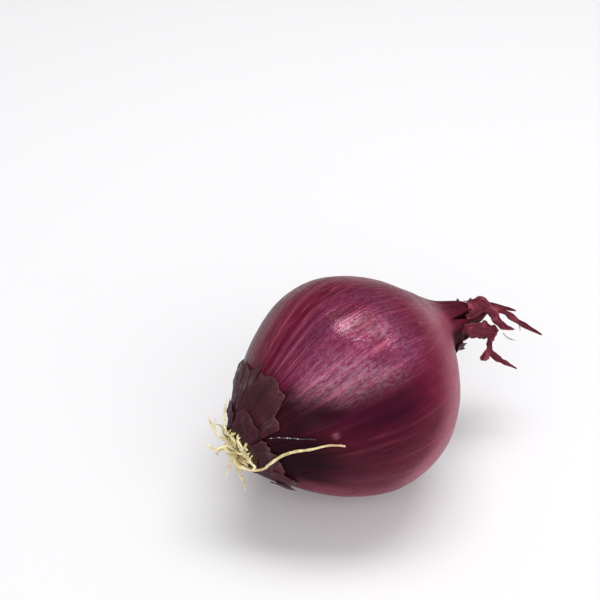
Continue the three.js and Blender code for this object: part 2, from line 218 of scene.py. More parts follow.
# The dry neck is split on its near side, and the split widens to the open end.
split_middle = np.interp(station, [35, 48.5], [41, 33])
split_width = np.interp(station, [35.5, 42, 48.5], [0.1, 7, 15])
split_depth = np.interp(station, [35.5, 39, 48.5], [0, 2.2, 4.2])
split = 1 - ease(0.6, 1.15, np.abs(angle - split_middle) / split_width)
split = split * ease(35.5, 37, station) * (1 - inside)
radius = np.maximum(radius - split * split_depth, 0)

# Under the split the neck's skin is torn away, which leaves a hollow, painted dark as shade.
torn_low = ease(50, 68, angle) * (1 - ease(160, 185, angle)) * ease(37, 42, station) * (1 - inside)
radius = radius * (1 - 0.45 * torn_low)

spots = resting(off_axis(station, angle, radius))
spots[:, 2] = np.maximum(spots[:, 2], 0)
shape(bulb, spots)
face_outward()

paint_place(bulb, angle, station, twist=25 * ease(28, 48, station))
# The neck's mouth, the split and the hollow under it go almost black: painted shade in these recesses.
paint(bulb, "recess_shade", np.max([inside, split * ease(36, 40, station), 0.8 * torn_low], axis=0))

# Close to the torn skins the bulb is stained almost black. The dark band up the near side is fitted
# to one view under one light, and part of it is likely to be shade and not the skin's colour.
wavering = station + 3 * grain(5, 14, angle, station, 41) + 1.5 * grain(14, 8, angle, station, 43)
near_stain = ease(26, 42, angle) * (1 - ease(98, 116, angle)) * (1 - ease(-37, -20, wavering))
# Toward the root end and under the neck the bulb is darkened as painted shade.
root_shade = 0.5 * (1 - ease(-40, -26, station))
tear_end = 1 - ease(-34, -27, station + 1.5 * grain(9, 9, angle, station, 37))
beside_tear = 0.85 * ease(6, 18, angle) * (1 - ease(40, 50, angle)) * tear_end
shade_under_neck = ease(50, 70, angle) * (1 - ease(120, 160, angle)) * ease(27, 33, station)
paint(bulb, "stain_and_shade", np.max([near_stain, root_shade, beside_tear, shade_under_neck], axis=0))
band_middle = np.interp(station, [-32, -22, -8, 8], [40, 54, 60, 62])
band = np.exp(-(((angle - band_middle) / 15) ** 2)) * ease(-40, -28, station) * (1 - ease(-9, 11, station))
paint(bulb, "band", band)

# Gloss is given only to patches of the upper near side, where the highlights fall under this
# light. A real skin is likely to be glossy over much more of the bulb.
patchy = 0.75 + 1.1 * grain(2.6, 13, angle, station, 29) + 0.6 * grain(8, 6, angle, station, 31)
shine = ease(-16, 6, angle) * (1 - ease(42, 56, angle))
shine = shine * ease(-36, -26, station) * (1 - ease(0, 14, station))
paint(bulb, "shine", shine * np.clip(patchy, 0.15, 1) * (1 - band))

# The colour is darkened low on the near side and on the far side, and paled on the near shoulder.
# These are fitted in the same way, and stand in for some of the shade and the floor's glow. The
# neck is dry, and the streaks show most over the top.
low_side = ease(52, 80, angle) * (1 - ease(88, 118, angle)) * (1 - 0.9 * ease(-20, 4, station))
far_side = 0.65 * ease(-130, -95, angle) * (1 - ease(-52, -28, angle)) * (1 - ease(-16, 2, station))
paint(bulb, "dark_tone_and_shade", np.maximum(0.8 * low_side, far_side))
paint(bulb, "dry", ease(33, 41, station))
glow_from = np.interp(angle, [0, 50, 74, 94, 106], [16, 15, 8, -3, -13])
pale_and_floor_glow = ease(glow_from - 5, glow_from + 9, station) * (1 - ease(30, 36, station))
paint(bulb, "pale_and_floor_glow", 0.7 * pale_and_floor_glow * ease(4, 30, angle) * (1 - ease(110, 135, angle)))
paint(bulb, "streaky", 0.07 + 0.53 * ease(-100, -40, angle) * (1 - ease(36, 60, angle)))

# Pale veins as (angle, first station, last station, strength).
VEINS = [
    (-20, -30, 6, 0.5), (-8, -32, -4, 0.6), (-2, -31, -12, 0.8), (7, -31, -17, 1.0), (12, -28, 0, 0.5),
    (17, -30, -14, 0.7), (26, -32, -8, 0.9), (31, -30, 4, 0.7), (36, -31, -12, 0.9), (43, -26, 2, 0.4),
    (58, -27, -14, 0.25), (70, -20, 10, 0.18), (76, -28, -6, 0.25), (88, -24, 8, 0.12), (101, -26, 4, 0.15),
    (-38, -26, 10, 0.4), (-60, -28, 4, 0.5), (-84, -24, 12, 0.5), (-110, -26, 2, 0.5), (-142, -22, 8, 0.4),
    (128, -24, 6, 0.4), (154, -26, 4, 0.4),
]
veins = np.zeros(len(ball))
for middle, first, last, strength in VEINS:
    drift = 1.2 * np.sin(station / 9 + middle)
    width = 0.6 + 0.5 * np.sin(middle) ** 2
    line = np.exp(-(((angle - middle - drift) / width) ** 2))
    reach = ease(first - 3, first + 4, station) * (1 - ease(last - 10, last + 4, station))
    veins += strength * line * reach
paint(bulb, "veins", np.clip(veins, 0, 1))

# One small scuff is rubbed pale just above the long root.
scuff = np.exp(-(((angle - 60) / 1.7) ** 2) - ((station + 27.8) / 0.8) ** 2)
paint(bulb, "scuff", np.clip(scuff * (0.8 + 1.5 * grain(30, 40, angle, station, 47)), 0, 1))


def tint(red, green, blue):
    """A colour given in the usual 0 to 255 steps, as the linear values that shaders take."""
    steps = np.array([red, green, blue]) / 255
    linear = np.where(steps <= 0.04045, steps / 12.92, ((steps + 0.055) / 1.055) ** 2.4)
    return (*linear, 1.0)


def new_material(name):
    material = bpy.data.materials.new(name)
    material.use_nodes = True
    return material, material.node_tree, material.node_tree.nodes["Principled BSDF"]


def feed(tree, socket, value):
    if isinstance(value, bpy.types.NodeSocket):
        tree.links.new(value, socket)
    else:
        socket.default_value = value


def attribute(tree, name, output="Fac"):
    reader = tree.nodes.new("ShaderNodeAttribute")
    reader.attribute_name = name
    return reader.outputs[output]


def stretched(tree, vector, scale):
    mapping = tree.nodes.new("ShaderNodeMapping")
    feed(tree, mapping.inputs["Vector"], vector)
    mapping.inputs["Scale"].default_value = scale
    return mapping.outputs["Vector"]


def cloudy(tree, vector, scale, detail=4.0, roughness=0.55):
    texture = tree.nodes.new("ShaderNodeTexNoise")
    feed(tree, texture.inputs["Vector"], vector)
    texture.inputs["Scale"].default_value = scale
    texture.inputs["Detail"].default_value = detail
    texture.inputs["Roughness"].default_value = roughness
    return texture.outputs["Fac"]


def ramp(tree, value, *stops):
    """Colours or greys along a value; each stop is (place, colour)."""
    blender = tree.nodes.new("ShaderNodeValToRGB")
    feed(tree, blender.inputs["Fac"], value)
    elements = blender.color_ramp.elements
    while len(elements) < len(stops):
        elements.new(0.5)
    for element, (where, colour) in zip(elements, stops):
        element.position = where
        element.color = colour if isinstance(colour, tuple) else (colour, colour, colour, 1)
    return blender.outputs["Color"]


def mixed(tree, factor, first, second, how="MIX"):
    mixer = tree.nodes.new("ShaderNodeMix")
    mixer.data_type = "RGBA"
    mixer.blend_type = how
    feed(tree, mixer.inputs[0], factor)
    feed(tree, mixer.inputs[6], first)
    feed(tree, mixer.inputs[7], second)
    return mixer.outputs[2]


def sums(tree, how, first, second):
    maths = tree.nodes.new("ShaderNodeMath")
    maths.operation = how
    feed(tree, maths.inputs[0], first)
    feed(tree, maths.inputs[1], second)
    return maths.outputs[0]


def painted(tree, name, strength):
    """A value painted on the piece, times a strength."""
    return sums(tree, "MULTIPLY", attribute(tree, name), strength)


def bumped(tree, height, distance, strength=1.0, below=None):
    bump = tree.nodes.new("ShaderNodeBump")
    bump.inputs["Strength"].default_value = strength
    bump.inputs["Distance"].default_value = distance
    feed(tree, bump.inputs["Height"], height)
    if below is not None:
        feed(tree, bump.inputs["Normal"], below)
    return bump.outputs["Normal"]


def object_place(tree):
    return tree.nodes.new("ShaderNodeTexCoord").outputs["Object"]


def finish_piece(piece, material, slot, *nodes):
    piece.data.materials.clear()
    piece.data.materials.append(material)
    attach(piece, "root")
    if nodes:
        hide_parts(*nodes)


def glossy_skin():
    material, tree, shader = new_material("glossy_purple_skin")
    place = attribute(tree, "place", "Vector")
    broad = cloudy(tree, stretched(tree, place, (2.4, 2.4, 1.6)), 1.0, 3)
    medium = cloudy(tree, stretched(tree, place, (15, 15, 1.1)), 1.0, 4, 0.6)
    fine = cloudy(tree, stretched(tree, place, (60, 60, 2.6)), 1.0, 4, 0.65)
    mottle = cloudy(tree, stretched(tree, place, (13, 13, 8)), 1.0, 4, 0.6)
    crinkle = cloudy(tree, stretched(tree, place, (46, 46, 24)), 1.0, 3, 0.6)
    threads = cloudy(tree, stretched(tree, place, (17, 17, 0.9)), 1.0, 3, 0.5)

    # Each layer of colour goes over the one before.
    base = ramp(tree, broad, (0.36, tint(84, 17, 36)), (0.52, tint(106, 19, 48)), (0.66, tint(118, 22, 62)))
    dark_streak, streak, pale_streak = tint(72, 12, 32), tint(102, 23, 50), tint(136, 50, 74)
    streaks = ramp(tree, medium, (0.34, dark_streak), (0.54, streak), (0.74, pale_streak))
    colour = mixed(tree, attribute(tree, "streaky"), base, streaks)
    patches = ramp(tree, mottle, (0.4, 0.86), (0.55, 1.0), (0.7, 1.14))
    colour = mixed(tree, 1.0, colour, patches, "MULTIPLY")
    hairlines = ramp(tree, fine, (0.4, 0.84), (0.58, 1.0), (0.74, 1.22))
    colour = mixed(tree, painted(tree, "streaky", 1.6), colour, hairlines, "MULTIPLY")
    # Darker low on the near side and on the far side, partly as painted shade.
    colour = mixed(tree, attribute(tree, "dark_tone_and_shade"), colour, tint(52, 8, 24))
    thread_lines = ramp(
        tree, threads, (0.44, 0.0), (0.46, 0.5), (0.48, 0.0), (0.55, 0.0), (0.565, 0.6), (0.58, 0.0),
    )
    thread_lines = painted(tree, "streaky", thread_lines)
    colour = mixed(tree, thread_lines, colour, tint(196, 104, 122))
    # Paler on the near shoulder, partly as a painted glow from the floor.
    colour = mixed(tree, attribute(tree, "pale_and_floor_glow"), colour, tint(156, 76, 98))
    vein = painted(tree, "veins", ramp(tree, fine, (0.4, 0.2), (0.6, 0.8)))
    colour = mixed(tree, vein, colour, tint(206, 112, 128))
    # The glossy patches are also painted a lighter pink here, as a painted highlight.
    painted_highlight_pink = painted(tree, "shine", ramp(tree, fine, (0.4, 0.25), (0.7, 0.6)))
    colour = mixed(tree, painted_highlight_pink, colour, tint(150, 46, 108))
    # A dark band up the near side, partly painted shade.
    band = painted(tree, "band", ramp(tree, medium, (0.3, 1.0), (0.75, 0.78)))
    colour = mixed(tree, band, colour, tint(34, 0, 16))
    # Stains by the torn skins, and painted shade at the root end and under the neck.
    stain_and_shade = painted(tree, "stain_and_shade", ramp(tree, medium, (0.35, 1.0), (0.8, 0.7)))
    colour = mixed(tree, stain_and_shade, colour, tint(17, 9, 11))
    colour = mixed(tree, painted(tree, "dry", 0.75), colour, tint(62, 11, 22))
    colour = mixed(tree, attribute(tree, "scuff"), colour, tint(150, 84, 100))
    # Painted shade in the neck's mouth, the split and the hollow under it.
    colour = mixed(tree, attribute(tree, "recess_shade"), colour, tint(24, 8, 10))
    feed(tree, shader.inputs["Base Color"], colour)

    worn = ramp(tree, attribute(tree, "stain_and_shade"), (0.3, 0.0), (0.9, 0.45))
    worn = sums(tree, "MAXIMUM", worn, painted(tree, "dry", 0.4))
    satin = ramp(tree, crinkle, (0.35, 0.28), (0.65, 0.44))
    feed(tree, shader.inputs["Roughness"], sums(tree, "ADD", satin, worn))
    # The pink of the highlights comes from the tint here, the part-metal base below and the painted
    # highlight pink above. Tint and metal are not true of real skin, which has no metal in it.
    shader.inputs["Specular IOR Level"].default_value = 0.14
    shader.inputs["Specular Tint"].default_value = (1, 0.34, 0.56, 1)
    shine = painted(tree, "shine", ramp(tree, crinkle, (0.4, 0.12), (0.62, 0.8)))
    feed(tree, shader.inputs["Coat Weight"], shine)
    feed(tree, shader.inputs["Metallic"], painted(tree, "shine", 0.6))
    shader.inputs["Coat IOR"].default_value = 2.1
    shader.inputs["Coat Roughness"].default_value = 0.2
    ribs = bumped(tree, medium, 0.0002, 0.35)
    ribs = bumped(tree, fine, 0.0001, 0.5, ribs)
    relief = bumped(tree, crinkle, 0.0001, 1.0, ribs)
    feed(tree, shader.inputs["Normal"], relief)
    feed(tree, shader.inputs["Coat Normal"], relief)
    return material


finish_piece(bulb, glossy_skin(), "bulb_skin", "bulb")


# ---------------------------------------------------------------- torn outer skins
# Old outer skins, dry and brown as paper, cling round the root end and are torn off short of the
# belly. Their broken edges are ragged and curl away from the bulb.
SKIN_LIFT = 0.35
SHEET_THICKNESS = 0.16
RIM_FLARE = 0.55  # how far the skins widen for each millimetre that they stand past the root end
RIM_EDGE = [
    (-180, -47.2), (-130, -47.4), (-90, -46.9), (-72, -47.9), (-60, -46.8), (-44, -48.1), (-30, -46.9),
    (-12, -47.8), (2, -47.0), (14, -47.9), (34, -47.2), (60, -47.4), (84, -46.8), (110, -47.4),
    (150, -47.0), (200, -47.2),
]
UPPER_SKIN_EDGE = [
    (-166, -40), (-150, -37.5), (-138, -38.6), (-122, -35.2), (-104, -36.8), (-90, -33.6), (-74, -34.6),
    (-51, -31), (-38, -32.8), (-26, -34.4), (-18, -31.8), (-15.2, -32), (-14.4, -37.3), (-13.2, -36.6),
    (-12, -33.6), (-4, -33.4), (0, -32.2), (7, -32.5), (13, -33.6), (19, -33.2), (21, -35.2), (24, -36.8),
    (26, -38.4), (34, -38.2), (39, -38.9),
]
LOWER_SKIN_EDGE = [
    (41, -43.6), (46, -43), (52, -43.2), (63, -43.2), (67, -42.2), (72, -42.2), (84, -42), (92, -41.4),
    (101, -42), (107, -40.6), (113, -38.7), (120, -38.4), (128, -39.4), (140, -37.6), (156, -39.8),
    (172, -38.2), (191, -41),
]


def ragged(table, x):
    """Straight lines between the rows of a table of (x, y)."""
    xs, ys = np.array(table, float).T
    return np.interp(x, xs, ys)


def grid(name, columns, rows):
    """A flat sheet of squares to be shaped: its corners, and their shares across and up it."""
    bpy.ops.mesh.primitive_grid_add(x_subdivisions=columns, y_subdivisions=rows, size=1)
    sheet = bpy.context.object
    sheet.name = name
    flat = corners_of(sheet)
    return sheet, flat[:, 0] + 0.5, flat[:, 1] + 0.5


def thicken(sheet):
    solidify = sheet.modifiers.new("thickness", "SOLIDIFY")
    solidify.thickness = SHEET_THICKNESS * MM
    solidify.offset = 0
    bpy.ops.object.modifier_apply(modifier=solidify.name)
    bpy.ops.object.shade_smooth()


def torn_skin(name, root_edge, torn_edge, seed, lift=SKIN_LIFT, curl=1.0, fray=0.6, rows=26):
    """A sheet wrapped on the bulb between two edges of (angle, station); the torn one curls up."""
    first, last = torn_edge[0][0], torn_edge[-1][0]
    sheet, across, up = grid(name, int((last - first) * 3) + 12, rows)
    angle = first + across * (last - first)
    none = 0 * angle
    fine = 0.35 * grain(10, 40, angle, none, seed) + 0.4 * grain(27, 40, angle, none, seed + 5)
    fine += 0.16 * grain(80, 40, angle, none, seed + 6)
    notches = np.maximum(grain(23, 40, angle, none, seed + 9) - 0.3, 0) * 4
    ends = ease(0, 0.03, across) * ease(0, 0.03, 1 - across)
    top = ragged(torn_edge, angle) + fray * (fine - notches) * ends
    teeth = 1.2 * fine + 0.8 * grain(16, 40, angle, none, seed + 11)
    bottom = ragged(root_edge, angle) + 0.8 * fray * teeth
    station = bottom + (top - bottom) * up
    rise = curl * np.maximum(0.35 + 1.1 * grain(5, 40, angle, none, seed + 2), 0.04) * up**7
    ripple = 0.16 * grain(14, 9, angle, station, seed + 4) + 0.14 * grain(4, 6, angle, station, seed + 6)
    ripple += 0.1 * grain(30, 3, angle, station, seed + 8)
    side_curl = 0.35 * curl * ((1 - ease(0, 0.02, across)) + (1 - ease(0, 0.02, 1 - across)))
    points = on_bulb(station, angle, lift + rise + ripple + side_curl)
    past_rim = np.maximum(ROOT_END - station, 0) * RIM_FLARE
    turn = np.radians(angle)
    points[:, 1] += past_rim * np.sin(turn)
    points[:, 2] -= past_rim * np.cos(turn)
    shape(sheet, resting(points))
    paint_place(sheet, angle, station)
    paint(sheet, "edge", np.maximum(up**7, (1 - up) ** 9 * 0.5))
    thicken(sheet)
    return sheet


def papery_skin():
    material, tree, shader = new_material("papery_torn_skin")
    place = attribute(tree, "place", "Vector")
    objects = object_place(tree)
    streaks = cloudy(tree, stretched(tree, place, (16, 16, 1.6)), 1.0, 5, 0.6)
    patches = cloudy(tree, objects, 170, 4, 0.6)
    flecks = cloudy(tree, objects, 900, 3, 0.6)
    base = ramp(tree, streaks, (0.34, tint(34, 14, 19)), (0.52, tint(52, 22, 29)), (0.7, tint(78, 40, 47)))
    plum = ramp(tree, patches, (0.42, tint(40, 18, 24)), (0.62, tint(72, 20, 38)))
    colour = mixed(tree, 0.45, base, plum)
    worn = painted(tree, "edge", ramp(tree, flecks, (0.35, 0.1), (0.65, 0.55)))
    colour = mixed(tree, worn, colour, tint(112, 74, 78))
    feed(tree, shader.inputs["Base Color"], colour)
    shader.inputs["Specular IOR Level"].default_value = 0.3
    shader.inputs["Specular Tint"].default_value = (1, 0.5, 0.62, 1)
    feed(tree, shader.inputs["Roughness"], ramp(tree, flecks, (0.3, 0.42), (0.7, 0.75)))
    worn_smooth = ramp(tree, cloudy(tree, objects, 210, 2), (0.55, 0.0), (0.66, 0.6))
    feed(tree, shader.inputs["Coat Weight"], worn_smooth)
    shader.inputs["Coat Roughness"].default_value = 0.25
    veined = bumped(tree, streaks, 0.0006, 0.6)
    feed(tree, shader.inputs["Normal"], bumped(tree, flecks, 0.00012, 0.5, veined))
    return material


papery = papery_skin()
upper_skin = torn_skin("torn_skin_upper", RIM_EDGE, UPPER_SKIN_EDGE, seed=21)
finish_piece(upper_skin, papery, "torn_skin", "outer_skin_upper")
lower_skin = torn_skin("torn_skin_lower", RIM_EDGE, LOWER_SKIN_EDGE, seed=35)
finish_piece(lower_skin, papery, "torn_skin", "outer_skin_lower")


# ---------------------------------------------------------------- loose flakes on the torn skins
# Scraps of still older skin lie over the torn ones round the root end. They are the same brown
# paper, each held at the edge toward the roots and curling up at the other.
FLAKE_LIFT = 0.95
FLAKES = [
    ([(-64, -43.6), (-46, -45.8), (-24, -46)], [(-64, -42.6), (-50, -41), (-38, -43.4), (-24, -44.4)]),
    (
        [(-16, -46), (4, -45.2), (20, -46), (36, -45.4)],
        [(-16, -43.8), (-6, -42.2), (6, -42.4), (18, -43), (28, -42.8), (36, -44.6)],
    ),
    ([(96, -44), (104, -43.4), (118, -42)], [(96, -43.2), (104, -40.4), (110, -38.6), (118, -41.2)]),
    ([(128, -42.8), (140, -42), (152, -42.6)], [(128, -41.8), (138, -37.4), (144, -38.6), (152, -41.8)]),
    (
        [(-132, -44.6), (-116, -45.4), (-96, -44.8)],
        [(-132, -43), (-118, -40.2), (-108, -41.8), (-96, -43.6)],
    ),
]
for number, (root_edge, torn_edge) in enumerate(FLAKES, 1):
    flake = torn_skin(
        f"flake_{number}", root_edge, torn_edge, 50 + number, lift=FLAKE_LIFT, curl=0.8, fray=0.35, rows=12,
    )
    finish_piece(flake, papery, "torn_skin", f"skin_flake_{number}")


# ---------------------------------------------------------------- pale film
# A thin grey film of an inner skin is left along the tear of the lower skin. It is narrow, nearly
# clear and flecked, and its lifted edge catches the light. Its brightest flecks are painted glints.
PALE_EDGE = [(43, -41.8), (46, -40), (50, -38), (54, -35.8), (58, -32.5)]
PALE_WIDTH = 0.6
pale_root_edge = [(angle, station - PALE_WIDTH) for angle, station in PALE_EDGE]
film = torn_skin("pale_film", pale_root_edge, PALE_EDGE, 71, curl=0.5, fray=0.25, rows=8)


def grey_film():
    material, tree, shader = new_material("grey_film")
    objects = object_place(tree)
    flecks = cloudy(tree, objects, 1200, 3)
    # The brightest flecks are painted glints.
    grey, pale_grey, painted_glint = tint(44, 28, 34), tint(84, 68, 74), tint(190, 180, 184)
    colour = ramp(tree, flecks, (0.4, grey), (0.55, pale_grey), (0.64, painted_glint))
    feed(tree, shader.inputs["Base Color"], colour)
    shader.inputs["Roughness"].default_value = 0.4
    feed(tree, shader.inputs["Normal"], bumped(tree, flecks, 0.0002, 0.6))
    return material


finish_piece(film, grey_film(), "pale_skin", "pale_skin_edge")


# ---------------------------------------------------------------- root plate
# The roots grow from a low corky disc at the end of the bulb. It is brown and fibrous, and pitted
# where old roots have broken off.
PLATE_RADIUS, PLATE_DEPTH, GAP = 8, 2.2, 0.3
bpy.ops.mesh.primitive_uv_sphere_add(segments=96, ring_count=64, radius=1)
plate = bpy.context.object
plate.name = "corky_root_plate"
ball = corners_of(plate)
turn = np.degrees(np.arctan2(ball[:, 1], ball[:, 0]))
radius = np.hypot(ball[:, 0], ball[:, 1]) * PLATE_RADIUS
out = np.where(ball[:, 2] > 0, GAP + ball[:, 2] * PLATE_DEPTH, GAP)
pits = 0.35 * grain(3, 3, turn, radius * 2, 81) + 0.25 * grain(9, 1.5, turn, radius * 2, 83)
out = out + np.where(ball[:, 2] > 0, pits * ball[:, 2], 0)
shape(plate, resting(off_axis(ROOT_END, turn, radius) - np.stack([out, 0 * out, 0 * out], -1)))
face_outward()


def corky():
    material, tree, shader = new_material("brown_cork")
    objects = object_place(tree)
    crumbs = cloudy(tree, objects, 900, 5, 0.7)
    colour = ramp(tree, crumbs, (0.34, tint(24, 12, 6)), (0.5, tint(56, 36, 18)), (0.68, tint(104, 78, 42)))
    feed(tree, shader.inputs["Base Color"], colour)
    shader.inputs["Roughness"].default_value = 0.95
    feed(tree, shader.inputs["Normal"], bumped(tree, crumbs, 0.0008, 0.8))
    return material


finish_piece(plate, corky(), "cork", "root_plate")


# ---------------------------------------------------------------- roots
# Dry straw-coloured roots grow out of the plate, kinked and tapering, each about 0.8 mm thick. A
# root's route is given as (out, down, side) in millimetres off the plate. One long root bends back
# round the rim and lies along the bulb, where its route is (station, angle, lift).
ROOT_RADIUS, LONG_ROOT_RADIUS = 0.38, 0.45
ROOT_INSET = 1.6  # how far inside the plate each root begins
ROOT_ROUTES = [
    [(2.4, -5.2, 2), (2.9, -8, 1.6), (1.2, -11.6, 1), (-0.9, -14.1, 0.5), (-3.2, -16.4, 0)],
    [(2.6, -4.2, -2.4), (2.8, -6.6, -3), (2.2, -9.2, -2.6), (4, -11.5, -2)],
    [(3.1, -2.6, -0.6), (3.9, -5.4, -0.4), (5.1, -7, 0), (5.6, -9.9, 0), (5.3, -13, 0), (4.8, -15.2, 0)],
    [(3.1, -1.2, 1), (4.6, -3.4, 1.5), (6.4, -4.1, 2), (9.1, -4.7, 2), (10.1, -6.7, 2), (10.1, -8.8, 2)],
    [(3, 0.8, -0.6), (5.1, 0.1, -0.2), (7.8, 1.4, 0)],
    [(2.8, 3.4, -2.6), (4.5, 4, -2.2), (5, 5.5, -2), (5.4, 7.8, -2)],
    [(3, 1.6, 0.6), (4.4, 1.7, 1.1), (4.4, 3.2, 1.4), (3.2, 5, 1.9), (2.4, 6.8, 2.3)],
    [(2.7, 0.8, 4.4), (2.7, 2.4, 5.4), (2.5, 4.2, 6.1), (2, 5.9, 6.6), (3.2, 6.4, 5.6), (4.4, 5.2, 5.2)],
    [(2.4, -5.8, 3.6), (3.4, -5.4, 4.4), (3.2, -3.8, 4.8), (3.9, -2.2, 4.6)],
    [(2, -4, 5.6), (2.8, -3.6, 6.6), (2.7, -2.2, 7), (2.8, -0.8, 7.2)],
    [(3, -1.4, -2), (3.8, -2.6, -1.9), (4.9, -1.2, -1.6), (4.9, 0.4, -2)],
    [(2.8, -1.6, 3), (4.2, -1.2, 4.2), (3.8, 0.2, 5.6), (2.8, 0.4, 7)],
    [(2.8, 2.6, 2.8), (3.9, 2.8, 3.7), (3.3, 4.2, 4), (3, 5.4, 3.3)],
    [(3, -0.2, 0.2), (4.6, -1.2, -0.2), (5.4, -3.4, -1.2), (6.8, -3.8, -1.8)],
    [(2.4, 5, -4), (4, 6.6, -5), (3.8, 9.5, -6), (4.8, 12.5, -6.4)],
    [(2.5, -1.6, -5), (4.6, -2.6, -7), (5.8, -2, -10), (4.8, -1, -13)],
    [(2.6, 1.6, -4.4), (4.6, 2.6, -6.2), (5.8, 4.4, -8.4), (7.6, 6.4, -9.6)],
    [(2.2, -4.8, -4.8), (3.6, -7, -6.4), (2.8, -9.5, -8.6), (0.2, -12, -10.4)],
]
LONG_ROOT_OFF_PLATE = [
    (2.9, -0.6, 2.8), (5.6, 0.6, 3.2), (5.8, 3, 3.4), (4.2, 5, 3.9), (2.2, 6.9, 5.1), (-0.2, 7.9, 7),
]
LONG_ROOT_ON_BULB = [
    (-43.8, 75, 1.9), (-40.6, 65, 1.8), (-37.7, 63, 1.7), (-34, 63.5, 1.6), (-30, 63.5, 1.5),
    (-26.4, 66.5, 1.4),
]


def off_plate(out, down, side):
    """A point in millimetres along the bulb's own axis, off the middle of its root end."""
    half = math.sqrt(0.5)
    bow = smooth(BOW, ROOT_END) * BOW_DIRECTION
    return np.array([ROOT_END - out, -(down + side) * half, (side - down) * half]) + bow


def flowing(stops, pieces=8):
    """A smooth line through given stops."""
    stops = np.array(stops, float)
    padded = np.vstack([2 * stops[0] - stops[1], stops, 2 * stops[-1] - stops[-2]])
    line = []
    for a, b, c, d in zip(padded, padded[1:], padded[2:], padded[3:]):
        for t in np.arange(pieces) / pieces:
            bend, twist = 2 * a - 5 * b + 4 * c - d, 3 * b - a - 3 * c + d
            line.append(0.5 * (2 * b + (c - a) * t + bend * t**2 + twist * t**3))
    line.append(stops[-1])
    return np.array(line)


def cord(name, line, thickness, seed, tip=0.35, sides=2):
    """A kinked tapering cord along a line in millimetres; thickness is its radius."""
    chance = random.Random(seed)
    wander = np.array([[chance.uniform(-1, 1) for _ in range(3)] for _ in line])
    wander[1:-1] = (wander[:-2] + wander[1:-1] + wander[2:]) / 3
    points = resting(line + wander * thickness * 0.28)
    curve = bpy.data.curves.new(name, "CURVE")
    curve.dimensions = "3D"
    curve.bevel_depth = thickness * MM
    curve.bevel_resolution = sides
    curve.use_fill_caps = True
    spline = curve.splines.new("POLY")
    spline.points.add(len(points) - 1)
    for i, (spot, target) in enumerate(zip(points, spline.points)):
        share = i / (len(points) - 1)
        target.co = (*spot, 1)
        target.radius = (1 + 0.16 * chance.uniform(-1, 1)) * (1 - (1 - tip) * ease(0.7, 1.0, share))
    piece = bpy.data.objects.new(name, curve)
    bpy.context.collection.objects.link(piece)
    bpy.ops.object.select_all(action="DESELECT")
    piece.select_set(True)
    bpy.context.view_layer.objects.active = piece
    bpy.ops.object.convert(target="MESH")
    bpy.ops.object.shade_smooth()
    piece = bpy.context.object
    spots = corners_of(piece)
    distance = np.linalg.norm(spots[:, None, :] - points[None, ::4, :], axis=2)
    paint(piece, "tip", distance.argmin(1) * 4 / (len(points) - 1))
    return piece


def straw(name, pale, deep, tip_colour):
    material, tree, shader = new_material(name)
    objects = object_place(tree)
    stains = cloudy(tree, objects, 260, 3)
    fibres = cloudy(tree, objects, 1900, 3, 0.6)
    colour = ramp(tree, stains, (0.34, deep), (0.52, pale), (0.7, tint(246, 238, 206)))
    colour = mixed(tree, 0.35, colour, ramp(tree, fibres, (0.35, deep), (0.6, pale)))
    colour = mixed(tree, ramp(tree, attribute(tree, "tip"), (0.84, 0.0), (1.0, 0.6)), colour, tip_colour)
    feed(tree, shader.inputs["Base Color"], colour)
    shader.inputs["Roughness"].default_value = 0.7
    feed(tree, shader.inputs["Normal"], bumped(tree, fibres, 0.0003, 0.6))
    return material


dry_root = straw("dry_root", tint(236, 222, 172), tint(172, 146, 84), tint(240, 232, 214))
for number, stops in enumerate(ROOT_ROUTES, 1):
    out, down, side = stops[0]
    inner = (out - ROOT_INSET, down, side)
    line = flowing([off_plate(*stop) for stop in [inner, *stops]])
    root = cord(f"dry_root_{number:02d}", line, ROOT_RADIUS, seed=number)
    finish_piece(root, dry_root, "dry_root", f"root_{number:02d}")

inner_end = (LONG_ROOT_OFF_PLATE[0][0] - ROOT_INSET, *LONG_ROOT_OFF_PLATE[0][1:])
long_stops = [off_plate(*stop) for stop in [inner_end, *LONG_ROOT_OFF_PLATE]]
long_stops += [on_bulb(*stop) for stop in LONG_ROOT_ON_BULB]
long_root = cord("long_root", flowing(long_stops), LONG_ROOT_RADIUS, seed=40, tip=0.7)
pink_tip = straw("long_dry_root", tint(230, 214, 166), tint(184, 152, 96), tint(206, 150, 140))
finish_piece(long_root, pink_tip, "dry_root", "root_long")


